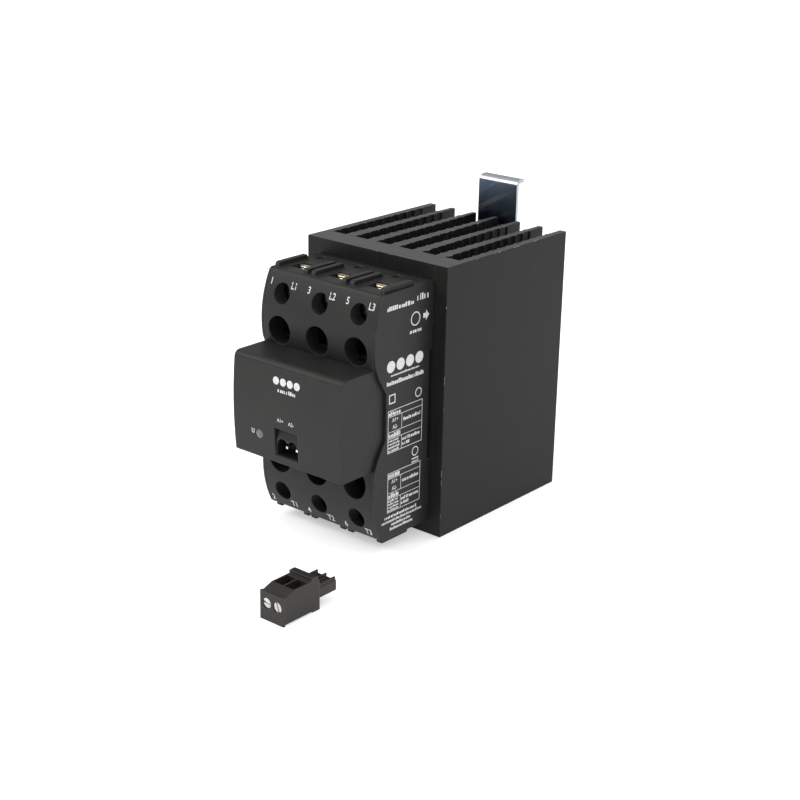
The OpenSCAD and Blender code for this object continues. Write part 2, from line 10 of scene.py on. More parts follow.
import bmesh
import bpy
from mathutils import Matrix, Vector
from mathutils.bvhtree import BVHTree


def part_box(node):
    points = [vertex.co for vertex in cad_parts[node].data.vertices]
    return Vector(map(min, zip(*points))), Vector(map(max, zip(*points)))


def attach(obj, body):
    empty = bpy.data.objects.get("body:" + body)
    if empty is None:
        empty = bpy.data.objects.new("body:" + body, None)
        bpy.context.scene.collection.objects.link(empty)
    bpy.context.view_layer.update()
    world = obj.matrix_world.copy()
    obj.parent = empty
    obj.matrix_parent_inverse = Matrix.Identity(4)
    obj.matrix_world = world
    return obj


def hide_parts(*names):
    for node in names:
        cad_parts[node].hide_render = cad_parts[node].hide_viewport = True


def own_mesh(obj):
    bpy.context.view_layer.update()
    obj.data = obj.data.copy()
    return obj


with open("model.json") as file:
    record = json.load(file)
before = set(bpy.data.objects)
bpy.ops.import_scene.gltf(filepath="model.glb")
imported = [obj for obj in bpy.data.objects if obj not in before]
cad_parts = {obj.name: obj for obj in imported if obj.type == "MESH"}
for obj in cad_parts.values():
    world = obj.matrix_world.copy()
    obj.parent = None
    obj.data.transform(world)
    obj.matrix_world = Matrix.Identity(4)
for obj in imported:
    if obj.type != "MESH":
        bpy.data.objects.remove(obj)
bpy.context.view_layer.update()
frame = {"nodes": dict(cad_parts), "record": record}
nodes = frame["nodes"]
MM = 0.001
random.seed(7)

# Places that several pieces share, from the CAD nodes
house_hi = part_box("housing_frame")[1]
nose_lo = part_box("control_cover")[0]
spring_lo, spring_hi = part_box("latch_spring")
washers = [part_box(f"clamp_washer_{n}") for n in (1, 2, 3)]
pole_x = [(low.x + high.x) / 2 for low, high in washers]


# ---------------------------------------------------------------- camera, floor and light

CAMERA_TARGET = Vector((13.55, -38.0, 51.63)) * MM
CAMERA_DISTANCE = 623.2 * MM
CAMERA_AZIMUTH = math.radians(39.71)
CAMERA_ELEVATION = math.radians(20.08)
CAMERA_ROLL = math.radians(1.18)
CAMERA_LENS = 72.69
SENSOR_WIDTH = 36
CLIP_START, CLIP_END = 0.01, 50

FLOOR_HALF = 12.0
FLOOR_GREY = 0.93
FLOOR_GLOW = 0.42
SKY_AT_HORIZON, SKY_OVERHEAD = 0.42, 1.1
SKY_SEEN = 1.25
# Name, place, target, size and power of each softbox
SOFTBOXES = (
    ("softbox_left", (-0.9, -1.0, 1.1), (0, -0.04, 0.05), (0.9, 0.9), 13.0),
    ("softbox_right", (1.3, -0.5, 0.9), (0, 0, 0.05), (0.8, 0.8), 3.2),
    ("softbox_back", (0.3, 1.0, 1.2), (0, 0, 0.1), (1.0, 0.6), 6.5),
)


def make_camera():
    """The camera looks down at the relay's front right corner."""
    data = bpy.data.cameras.new("camera")
    data.lens = CAMERA_LENS
    data.sensor_width = SENSOR_WIDTH
    data.clip_start = CLIP_START
    data.clip_end = CLIP_END
    camera = bpy.data.objects.new("camera", data)
    bpy.context.scene.collection.objects.link(camera)
    a, e, r = CAMERA_AZIMUTH, CAMERA_ELEVATION, CAMERA_ROLL
    back = Vector((math.sin(a) * math.cos(e), -math.cos(a) * math.cos(e), math.sin(e)))
    right = Vector((math.cos(a), math.sin(a), 0))
    up = back.cross(right)
    right_r = right * math.cos(r) + up * math.sin(r)
    up_r = up * math.cos(r) - right * math.sin(r)
    turn = Matrix((right_r, up_r, back)).transposed().to_4x4()
    camera.matrix_world = Matrix.Translation(CAMERA_TARGET + back * CAMERA_DISTANCE) @ turn
    bpy.context.scene.camera = camera


def area_light(name, place, target, size, power):
    """A soft rectangular light that points from place to target."""
    data = bpy.data.lights.new(name, "AREA")
    data.shape = "RECTANGLE"
    data.size, data.size_y = size
    data.energy = power
    light = bpy.data.objects.new(name, data)
    light.location = place
    light.rotation_mode = "QUATERNION"
    light.rotation_quaternion = (Vector(target) - Vector(place)).to_track_quat("-Z", "Y")
    bpy.context.scene.collection.objects.link(light)


def make_studio():
    """Pale floor, a sky that is brighter overhead, and three softboxes."""
    mesh = bpy.data.meshes.new("floor")
    half = FLOOR_HALF
    corners = [(-half, -half, 0), (half, -half, 0), (half, half, 0), (-half, half, 0)]
    mesh.from_pydata(corners, [], [(0, 1, 2, 3)])
    floor = bpy.data.objects.new("floor", mesh)
    bpy.context.scene.collection.objects.link(floor)
    paint = bpy.data.materials.new("floor_paint")
    paint.use_nodes = True
    shader = paint.node_tree.nodes["Principled BSDF"]
    shader.inputs["Base Color"].default_value = (FLOOR_GREY, FLOOR_GREY, FLOOR_GREY, 1)
    shader.inputs["Roughness"].default_value = 0.9
    shader.inputs["Specular IOR Level"].default_value = 0.1
    shader.inputs["Emission Color"].default_value = (1, 1, 1, 1)
    shader.inputs["Emission Strength"].default_value = FLOOR_GLOW
    mesh.materials.append(paint)

    world = bpy.data.worlds.new("studio")
    bpy.context.scene.world = world
    world.use_nodes = True
    tree = world.node_tree
    tree.nodes.clear()
    out = tree.nodes.new("ShaderNodeOutputWorld")
    sky = tree.nodes.new("ShaderNodeBackground")
    place = tree.nodes.new("ShaderNodeTexCoord")
    split = tree.nodes.new("ShaderNodeSeparateXYZ")
    ramp = tree.nodes.new("ShaderNodeMapRange")
    ramp.inputs["From Min"].default_value = 0.0
    ramp.inputs["From Max"].default_value = 1.0
    ramp.inputs["To Min"].default_value = SKY_AT_HORIZON
    ramp.inputs["To Max"].default_value = SKY_OVERHEAD
    tree.links.new(place.outputs["Generated"], split.inputs[0])
    tree.links.new(split.outputs["Z"], ramp.inputs["Value"])
    # Low views see past the floor's far edge, so what shows there is as pale as the floor
    ray = tree.nodes.new("ShaderNodeLightPath")
    pale = tree.nodes.new("ShaderNodeMath")
    pale.operation = "MULTIPLY"
    pale.inputs[1].default_value = SKY_SEEN
    tree.links.new(ray.outputs["Is Camera Ray"], pale.inputs[0])
    seen = tree.nodes.new("ShaderNodeMath")
    seen.operation = "MAXIMUM"
    tree.links.new(ramp.outputs[0], seen.inputs[0])
    tree.links.new(pale.outputs[0], seen.inputs[1])
    tree.links.new(seen.outputs[0], sky.inputs["Strength"])
    tree.links.new(sky.outputs[0], out.inputs["Surface"])

    for softbox in SOFTBOXES:
        area_light(*softbox)
    bpy.context.scene.view_settings.view_transform = "Standard"


make_camera()
make_studio()


# ---------------------------------------------------------------- material building blocks


class Paint:
    """A Principled material with short calls for its procedural nodes."""

    def __init__(self, name, colour, roughness, metallic=0.0, specular=0.5):
        self.material = bpy.data.materials.new(name)
        self.material.use_nodes = True
        self.tree = self.material.node_tree
        self.shader = self.tree.nodes["Principled BSDF"]
        self.shader.inputs["Base Color"].default_value = (*colour, 1)
        self.shader.inputs["Roughness"].default_value = roughness
        self.shader.inputs["Metallic"].default_value = metallic
        self.shader.inputs["Specular IOR Level"].default_value = specular
        self.place = self.tree.nodes.new("ShaderNodeTexCoord")
        self.normal = None

    def link(self, a, b):
        self.tree.links.new(a, b)

    def stretched(self, scale):
        """Object coordinates, scaled differently along each axis."""
        node = self.tree.nodes.new("ShaderNodeMapping")
        node.inputs["Scale"].default_value = scale
        self.link(self.place.outputs["Object"], node.inputs["Vector"])
        return node.outputs["Vector"]

    def noise(self, scale, detail=3.0, rough=0.55, vector=None):
        node = self.tree.nodes.new("ShaderNodeTexNoise")
        node.inputs["Scale"].default_value = scale
        node.inputs["Detail"].default_value = detail
        node.inputs["Roughness"].default_value = rough
        self.link(vector or self.place.outputs["Object"], node.inputs["Vector"])
        return node.outputs["Fac"]

    def ranged(self, value, low, high, to_low=0.0, to_high=1.0):
        node = self.tree.nodes.new("ShaderNodeMapRange")
        node.inputs["From Min"].default_value = low
        node.inputs["From Max"].default_value = high
        node.inputs["To Min"].default_value = to_low
        node.inputs["To Max"].default_value = to_high
        self.link(value, node.inputs["Value"])
        return node.outputs["Result"]

    def math(self, operation, a, b):
        node = self.tree.nodes.new("ShaderNodeMath")
        node.operation = operation
        for socket, value in zip(node.inputs, (a, b)):
            if isinstance(value, (int, float)):
                socket.default_value = value
            else:
                self.link(value, socket)
        return node.outputs[0]

    def mix(self, factor, a, b):
        """A colour between a and b; each is a colour or a socket."""
        node = self.tree.nodes.new("ShaderNodeMix")
        node.data_type = "RGBA"
        for socket, value in ((node.inputs[0], factor), (node.inputs[6], a), (node.inputs[7], b)):
            if isinstance(value, tuple):
                socket.default_value = (*value, 1)
            elif isinstance(value, (int, float)):
                socket.default_value = value
            else:
                self.link(value, socket)
        return node.outputs[2]

    def edges(self, radius):
        """1 along sharp edges and 0 on flat faces."""
        bevel = self.tree.nodes.new("ShaderNodeBevel")
        bevel.samples = 4
        bevel.inputs["Radius"].default_value = radius
        true = self.tree.nodes.new("ShaderNodeNewGeometry")
        dot = self.tree.nodes.new("ShaderNodeVectorMath")
        dot.operation = "DOT_PRODUCT"
        self.link(bevel.outputs[0], dot.inputs[0])
        self.link(true.outputs["Normal"], dot.inputs[1])
        return self.ranged(dot.outputs["Value"], 0.99, 0.8)

    def soft_edges(self, radius):
        """Shades sharp edges as if they had this radius. Call it before any bump."""
        bevel = self.tree.nodes.new("ShaderNodeBevel")
        bevel.samples = 6
        bevel.inputs["Radius"].default_value = radius
        self.normal = bevel.outputs["Normal"]
        self.link(self.normal, self.shader.inputs["Normal"])

    def facing(self, axis):
        """How far the surface faces one of the object's axes, from 0 to 1."""
        split = self.tree.nodes.new("ShaderNodeSeparateXYZ")
        self.link(self.place.outputs["Normal"], split.inputs[0])
        return self.math("ABSOLUTE", split.outputs[axis], 0.0)

    def bump(self, height, distance):
        node = self.tree.nodes.new("ShaderNodeBump")
        node.inputs["Distance"].default_value = distance
        self.link(height, node.inputs["Height"])
        if self.normal is not None:
            self.link(self.normal, node.inputs["Normal"])
        self.normal = node.outputs["Normal"]
        self.link(self.normal, self.shader.inputs["Normal"])

    def colour(self, socket):
        self.link(socket, self.shader.inputs["Base Color"])

    def rough(self, socket):
        self.link(socket, self.shader.inputs["Roughness"])


def moulded(name, dark, light, roughness, grain, depth, specular):
    """Black moulded plastic: fine spark-eroded grain, faint clouding and paler edges, partly wear
    and partly a painted highlight.
    """
    paint = Paint(name, dark, roughness, specular=specular)
    paint.soft_edges(0.5 * MM)
    clouds = paint.noise(70.0, 4.0)
    grit = paint.noise(grain, 2.0)
    body = paint.mix(paint.ranged(clouds, 0.3, 0.72), dark, light)
    edge = paint.edges(0.4 * MM)
    wear_and_highlight_patches = paint.ranged(paint.noise(420.0), 0.35, 0.65, 0.35, 0.9)
    wear_and_highlight = paint.math("MULTIPLY", edge, wear_and_highlight_patches)
    # Paler edges, patchy along their length: partly wear and partly a painted highlight
    paint.colour(paint.mix(wear_and_highlight, body, tuple(2.6 * c + 0.022 for c in light)))
    both = paint.math("ADD", clouds, grit)
    paint.rough(paint.ranged(both, 0.6, 1.4, roughness - 0.07, roughness + 0.09))
    paint.bump(grit, depth)
    return paint.material


def plated(name, colour, roughness, lines, spots=None):
    """Plated metal with fine lines, small stains and a painted highlight along the edges."""
    paint = Paint(name, colour, roughness, 1.0)
    paint.soft_edges(0.12 * MM)
    streak = paint.noise(1.0, 3.0, vector=paint.stretched(lines))
    stain = paint.noise(260.0, 4.0)
    shade = tuple(0.72 * c for c in colour)
    body = paint.mix(paint.ranged(stain, 0.35, 0.75), colour, shade)
    if spots:
        body = paint.mix(paint.ranged(paint.noise(700.0, 3.0), 0.46, 0.54), body, spots)
    # Painted highlight: the edges are a lighter copy of the colour
    edge_highlight = tuple(min(1.0, 1.25 * c) for c in colour)
    paint.colour(paint.mix(paint.edges(0.12 * MM), body, edge_highlight))
    both = paint.math("ADD", streak, stain)
    paint.rough(paint.ranged(both, 0.6, 1.4, roughness - 0.08, roughness + 0.14))
    paint.bump(streak, 0.006 * MM)
    return paint.material


# ---------------------------------------------------------------- materials


def anodised():
    """Black anodised extrusion: lines up the sides, paler sawn ends that also paint the top faces
    lighter as painted light, a painted highlight along the edges, bare metal at chips.
    """
    paint = Paint("anodised_aluminium", (0.018, 0.0172, 0.0165), 0.45, specular=0.16)
    paint.soft_edges(0.22 * MM)
    drawn = paint.noise(1.0, 4.0, vector=paint.stretched((1900.0, 1900.0, 14.0)))
    cloud = paint.noise(38.0, 4.0)
    grit = paint.noise(3300.0, 2.0)
    lines = paint.ranged(drawn, 0.3, 0.7)
    side = paint.mix(lines, (0.0085, 0.0082, 0.0079), (0.0145, 0.014, 0.0134))
    side = paint.mix(paint.ranged(cloud, 0.4, 0.8, 0.0, 0.5), side, (0.022, 0.0212, 0.0198))
    saw = paint.noise(1.0, 3.0, vector=paint.stretched((60.0, 2300.0, 60.0)))
    # Faces along Z are paler: partly the sawn finish, partly painted light that makes the top
    # faces lighter
    sawn_end_and_top_light = paint.mix(paint.ranged(saw, 0.3, 0.7), (0.05, 0.0492, 0.0487), (0.086, 0.0848, 0.0835))
    end = paint.ranged(paint.facing("Z"), 0.6, 0.9)
    body = paint.mix(end, side, sawn_end_and_top_light)
    edge = paint.edges(0.3 * MM)
    chip = paint.math("MULTIPLY", edge, paint.ranged(paint.noise(190.0, 3.0, 0.6), 0.61, 0.63))
    # Painted highlight: a faint paler line along the edges
    body = paint.mix(paint.math("MULTIPLY", edge, 0.35), body, (0.11, 0.107, 0.103))
    paint.colour(paint.mix(chip, body, (0.66, 0.64, 0.62)))
    paint.rough(paint.ranged(paint.math("ADD", drawn, cloud), 0.6, 1.4, 0.4, 0.54))
    paint.bump(grit, 0.006 * MM)
    paint.bump(paint.mix(end, drawn, saw), 0.012 * MM)
    return paint.material


def zinc():
    """Zinc plated sheet: broad faces carry a dark blue film with slanting pale streaks; the blue
    is the plating's own tint and its darkness is painted shade. Edges carry a painted highlight.
    """
    paint = Paint("zinc_steel", (0.66, 0.69, 0.74), 0.26, 1.0)
    paint.soft_edges(0.3 * MM)
    slant = paint.tree.nodes.new("ShaderNodeMapping")
    # A TEXTURE mapping turns before it scales, so the streaks slant
    slant.vector_type = "TEXTURE"
    slant.inputs["Rotation"].default_value = (0.0, math.radians(-31), 0.0)
    slant.inputs["Scale"].default_value = (1 / 9.0, 1 / 9.0, 1 / 250.0)
    paint.link(paint.place.outputs["Object"], slant.inputs["Vector"])
    streak = paint.noise(1.0, 2.0, 0.4, vector=slant.outputs["Vector"])
    haze = paint.noise(85.0, 3.0)
    # Dark blue film on the faces along Y: the blue tint is the plating's own, the darkness is
    # painted shade
    film_and_painted_shade = paint.mix(paint.ranged(haze, 0.35, 0.65), (0.06, 0.067, 0.125), (0.085, 0.118, 0.138))
    film_and_painted_shade = paint.mix(paint.ranged(streak, 0.57, 0.66, 0.0, 0.85), film_and_painted_shade, (0.26, 0.27, 0.275))
    bare = paint.mix(paint.ranged(haze, 0.4, 0.7), (0.5, 0.52, 0.54), (0.4, 0.42, 0.46))
    broad = paint.ranged(paint.facing("Y"), 0.93, 0.985)
    body = paint.mix(broad, bare, film_and_painted_shade)
    # Painted highlight: the edges are paler
    paint.colour(paint.mix(paint.edges(0.22 * MM), body, (0.72, 0.74, 0.74)))
    paint.rough(paint.ranged(paint.math("ADD", streak, haze), 0.6, 1.4, 0.2, 0.42))
    paint.bump(paint.noise(1.0, 2.0, vector=paint.stretched((1600.0, 1600.0, 60.0))), 0.008 * MM)
    return paint.material


def circuit_board():
    """Green solder mask over copper tracks that show as paler bands."""
    paint = Paint("circuit_board", (0.01, 0.1, 0.045), 0.28)
    tracks = paint.tree.nodes.new("ShaderNodeTexBrick")
    tracks.inputs["Scale"].default_value = 210.0
    tracks.inputs["Mortar Size"].default_value = 0.05
    tracks.inputs["Color1"].default_value = (0.012, 0.11, 0.05, 1)
    tracks.inputs["Color2"].default_value = (0.014, 0.125, 0.055, 1)
    tracks.inputs["Mortar"].default_value = (0.03, 0.2, 0.09, 1)
    turned = paint.tree.nodes.new("ShaderNodeMapping")
    turned.inputs["Rotation"].default_value = (math.radians(90), 0.0, 0.0)
    paint.link(paint.place.outputs["Object"], turned.inputs["Vector"])
    paint.link(turned.outputs["Vector"], tracks.inputs["Vector"])
    weave = paint.noise(1500.0, 2.0)
    shine = paint.ranged(weave, 0.3, 0.7, 0.0, 0.25)
    paint.colour(paint.mix(shine, tracks.outputs["Color"], (0.02, 0.16, 0.06)))
    paint.rough(paint.ranged(weave, 0.2, 0.8, 0.2, 0.36))
    paint.bump(tracks.outputs["Fac"], 0.02 * MM)
    return paint.material


def mottled(name, dark, light, roughness, scale, depth, metallic=0.0):
    """A plain finish with clouding and a fine texture, for ceramic, resin, rubber and lacquer."""
    paint = Paint(name, dark, roughness, metallic)
    cloud = paint.noise(scale, 4.0)
    grain = paint.noise(scale * 6, 2.0)
    paint.colour(paint.mix(paint.ranged(cloud, 0.3, 0.7), dark, light))
    paint.rough(paint.ranged(grain, 0.2, 0.8, max(0.02, roughness - 0.08), roughness + 0.08))
    paint.bump(grain, depth)
    return paint.material


def light_pipe():
    """Frosted acrylic that stays grey while the light behind it is off, with a painted highlight
    on its rim.
    """
    paint = Paint("light_pipe_grey", (0.12, 0.12, 0.118), 0.32)
    frost = paint.noise(2400.0, 3.0)
    rim_highlight = paint.edges(0.5 * MM)
    body = paint.mix(paint.ranged(frost, 0.3, 0.7), (0.105, 0.105, 0.103), (0.15, 0.15, 0.147))
    # Painted highlight: the rim is paler
    paint.colour(paint.mix(paint.math("MULTIPLY", rim_highlight, 0.6), body, (0.22, 0.22, 0.215)))
    paint.bump(frost, 0.012 * MM)
    return paint.material


def ink():
    """White pad printing, slightly worn through."""
    paint = Paint("white_ink", (0.66, 0.67, 0.67), 0.55)
    wear_and_highlight = paint.noise(1500.0, 3.0)
    bald = paint.ranged(wear_and_highlight, 0.55, 0.75, 0.0, 0.55)
    paint.colour(paint.mix(bald, (0.68, 0.69, 0.69), (0.34, 0.34, 0.34)))
    paint.rough(paint.ranged(wear_and_highlight, 0.3, 0.7, 0.48, 0.64))
    paint.bump(wear_and_highlight, 0.004 * MM)
    return paint.material


# Dark and light colour, roughness, grain scale, grain depth, specular
MOULDED = {
    "black_plastic": (
        (0.0138, 0.0135, 0.0128), (0.0215, 0.021, 0.0199), 0.5, 2600.0, 0.012 * MM, 0.27
    ),
    "socket_plastic": (
        (0.008, 0.008, 0.008), (0.013, 0.013, 0.013), 0.42, 3400.0, 0.006 * MM, 0.35
    ),
    "plug_plastic": (
        (0.0165, 0.0148, 0.0132), (0.025, 0.0225, 0.02), 0.46, 2900.0, 0.009 * MM, 0.35
    ),
}

# Colour, roughness, how fine the lines are along X, Y and Z, and the colour of spots
PLATED = {
    "spring_steel": ((0.42, 0.43, 0.45), 0.28, (300.0, 300.0, 2600.0)),
    "plated_screws": ((0.66, 0.655, 0.63), 0.26, (2100.0, 500.0, 2100.0)),
    "tinned_brass": ((0.74, 0.6, 0.34), 0.3, (300.0, 1800.0, 1800.0), (0.72, 0.71, 0.68)),
    "cage_steel": ((0.58, 0.58, 0.56), 0.32, (1600.0, 300.0, 1600.0)),
    "gold_pins": ((0.8, 0.75, 0.6), 0.24, (2400.0, 200.0, 2400.0)),
    "copper_plate": ((0.66, 0.6, 0.55), 0.34, (200.0, 900.0, 1800.0)),
}

# Dark and light colour, roughness, cloud scale, grain depth, metallic
MOTTLED = {
    "thermal_sheet": ((0.16, 0.17, 0.185), (0.22, 0.23, 0.245), 0.7, 300.0, 0.01 * MM),
    "white_ceramic": ((0.78, 0.78, 0.75), (0.86, 0.86, 0.83), 0.55, 900.0, 0.004 * MM),
    "silicon": ((0.05, 0.055, 0.07), (0.09, 0.1, 0.12), 0.14, 300.0, 0.001 * MM, 0.6),
    "potting": ((0.012, 0.012, 0.013), (0.02, 0.02, 0.021), 0.2, 90.0, 0.03 * MM),
    "chip_white": ((0.6, 0.6, 0.57), (0.7, 0.7, 0.67), 0.5, 1200.0, 0.006 * MM),
    "capacitor_red": ((0.4, 0.06, 0.025), (0.5, 0.09, 0.035), 0.25, 400.0, 0.012 * MM),
    "resistor_blue": ((0.14, 0.27, 0.38), (0.2, 0.34, 0.45), 0.3, 600.0, 0.01 * MM),
    "led_body": ((0.42, 0.5, 0.42), (0.5, 0.58, 0.5), 0.15, 500.0, 0.002 * MM),
}

SLOTS = {
    "anodised_aluminium": anodised(),
    "zinc_steel": zinc(),
    "circuit_board": circuit_board(),
    "light_pipe_grey": light_pipe(),
}
for make, finishes in ((moulded, MOULDED), (plated, PLATED), (mottled, MOTTLED)):
    for slot, finish in finishes.items():
        SLOTS[slot] = make(slot, *finish)
INK = ink()


# ---------------------------------------------------------------- finish of the CAD nodes


# Angles in degrees between faces: merged as flat, bevelled, and shaded as a sharp edge
FLAT_ANGLE, BEVEL_ANGLE, SHARP_ANGLE = 0.6, 28, 32
WELD_GAP = 0.002 * MM


def soften(node, width):
    """Rounds a CAD node's sharp edges a little, as a moulded, pressed or sawn part's edges are."""
    piece = nodes[node]
    piece.data.polygons.foreach_set("use_smooth", [True] * len(piece.data.polygons))
    weld = piece.modifiers.new("weld", "WELD")
    weld.merge_threshold = WELD_GAP
    flat = piece.modifiers.new("flat_faces", "DECIMATE")
    flat.decimate_type = "DISSOLVE"
    flat.angle_limit = math.radians(FLAT_ANGLE)
    bevel = piece.modifiers.new("edge_radius", "BEVEL")
    bevel.width = width
    bevel.segments = 2
    bevel.limit_method = "ANGLE"
    bevel.angle_limit = math.radians(BEVEL_ANGLE)
    bevel.use_clamp_overlap = True
    bevel.miter_outer = "MITER_ARC"
    shade = piece.modifiers.new("shade", "WEIGHTED_NORMAL")
    shade.mode = "FACE_AREA"
    shade.weight = 60
    shade.keep_sharp = False


EDGE_RADII = {
    "heatsink": 0.18 * MM,
    "housing_frame": 0.22 * MM,
    "control_cover": 0.3 * MM,
    "input_header": 0.15 * MM,
    "rail_latch": 0.2 * MM,
    "rail_bracket": 0.2 * MM,
    "plug_housing": 0.16 * MM,
}


def shade_by_angle(node):
    """Smooth shading on curved faces, sharp where faces meet at more than SHARP_ANGLE."""
    mesh = nodes[node].data
    mesh.polygons.foreach_set("use_smooth", [True] * len(mesh.polygons))
    mesh.set_sharp_from_angle(angle=math.radians(SHARP_ANGLE))


def dress_nodes():
    """Gives every CAD node the material of its slot, and its edge radius."""
    for part in frame["record"]["subparts"]:
        piece = nodes[part["node"]]
        piece.data.materials.clear()
        piece.data.materials.append(SLOTS[part["material_slot"]])
        if part["node"] not in EDGE_RADII:
            shade_by_angle(part["node"])
    for node, width in EDGE_RADII.items():
        soften(node, width)


dress_nodes()


# ---------------------------------------------------------------- new pieces


def add_piece(name, verts, faces, material, slot, body, smooth=True):
    """A mesh piece that rides on a body and takes the given material; the slot argument is not
    used.
    """
    mesh = bpy.data.meshes.new(name)
    mesh.from_pydata([tuple(v) for v in verts], [], faces)
    mesh.validate()
    tidy = bmesh.new()
    tidy.from_mesh(mesh)
    bmesh.ops.recalc_face_normals(tidy, faces=tidy.faces)
    tidy.to_mesh(mesh)
    tidy.free()
    mesh.materials.append(material)
    mesh.polygons.foreach_set("use_smooth", [smooth] * len(mesh.polygons))
    piece = bpy.data.objects.new(name, mesh)
    bpy.context.scene.collection.objects.link(piece)
    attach(piece, body)
    return piece


SPRING_WIRE = 0.32 * MM
SPRING_TURNS = 11
SPRING_STEPS = 30
SPRING_END_RISE = 2.1 * SPRING_WIRE
WIRE_SIDES = 10


def spring_path():
    """Centre line of the coil, with closed end turns that lie nearly flat."""
    radius = (spring_hi.x - spring_lo.x) / 2 - SPRING_WIRE
    x, y = (spring_lo.x + spring_hi.x) / 2, (spring_lo.y + spring_hi.y) / 2
    low, high = spring_lo.z + SPRING_WIRE, spring_hi.z - SPRING_WIRE
    count = SPRING_TURNS * SPRING_STEPS
    points = []
    for i in range(count + 1):
        turn = i / SPRING_STEPS
        if turn < 1:
            z = low + SPRING_END_RISE * turn
        elif turn > SPRING_TURNS - 1:
            z = high - SPRING_END_RISE * (SPRING_TURNS - turn)
        else:
            open_length = high - low - 2 * SPRING_END_RISE
            z = low + SPRING_END_RISE + open_length * (turn - 1) / (SPRING_TURNS - 2)
        angle = 2 * math.pi * turn
        points.append(Vector((x + radius * math.cos(angle), y + radius * math.sin(angle), z)))
    return points


def tube(points, radius):
    """Vertices and faces of a closed round wire along the points."""
    verts, faces = [], []
    for i, point in enumerate(points):
        along = (points[min(i + 1, len(points) - 1)] - points[max(i - 1, 0)]).normalized()
        out = along.cross(Vector((0, 0, 1))).normalized()
        up = out.cross(along)
        for k in range(WIRE_SIDES):
            angle = 2 * math.pi * k / WIRE_SIDES
            verts.append(point + radius * (math.cos(angle) * out + math.sin(angle) * up))
    for i in range(len(points) - 1):
        for k in range(WIRE_SIDES):
            a, b = i * WIRE_SIDES + k, i * WIRE_SIDES + (k + 1) % WIRE_SIDES
            faces.append((a, b, b + WIRE_SIDES, a + WIRE_SIDES))
    faces.append(tuple(range(WIRE_SIDES)))
    faces.append(tuple(reversed(range(len(verts) - WIRE_SIDES, len(verts)))))
    return verts, faces


wire = tube(spring_path(), SPRING_WIRE)
spring = add_piece("coil_spring", *wire, SLOTS["spring_steel"], "spring_steel", "relay")
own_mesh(spring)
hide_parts("latch_spring")


# ---------------------------------------------------------------- printing

INK_DEPTH = 0.03 * MM
# Rays that look for the surface start this far in front of it and go on for PRINT_REACH
PRINT_START = 5 * MM
PRINT_REACH = 100 * MM
# Share of the font size that a capital letter is high
CAPITAL_SHARE = 0.73
ROUND_SIDES = 28

# Sizes of the shapes that are drawn, in millimetres like (u, v)
POINT_GAP = 0.004
SHORTEST_BAR = 0.25
SHORTEST_GAP = 0.3
TERMINAL_TEXT = 2.6


def surface_of(names):
    """A search tree over the shown surface of some CAD nodes."""
    graph = bpy.context.evaluated_depsgraph_get()
    verts, faces = [], []
    for name in names:
        shown = nodes[name].evaluated_get(graph)
        mesh = shown.to_mesh()
        first = len(verts)
        verts.extend(shown.matrix_world @ v.co for v in mesh.vertices)
        faces.extend(tuple(first + i for i in face.vertices) for face in mesh.polygons)
        shown.to_mesh_clear()
    return BVHTree.FromPolygons(verts, faces)


def box_loop(u0, v0, u1, v1):
    return [(u0, v0), (u1, v0), (u1, v1), (u0, v1)]


def round_loop(u, v, r):
    turns = [2 * math.pi * k / ROUND_SIDES for k in range(ROUND_SIDES)]
    return [(u + r * math.cos(turn), v + r * math.sin(turn)) for turn in turns]


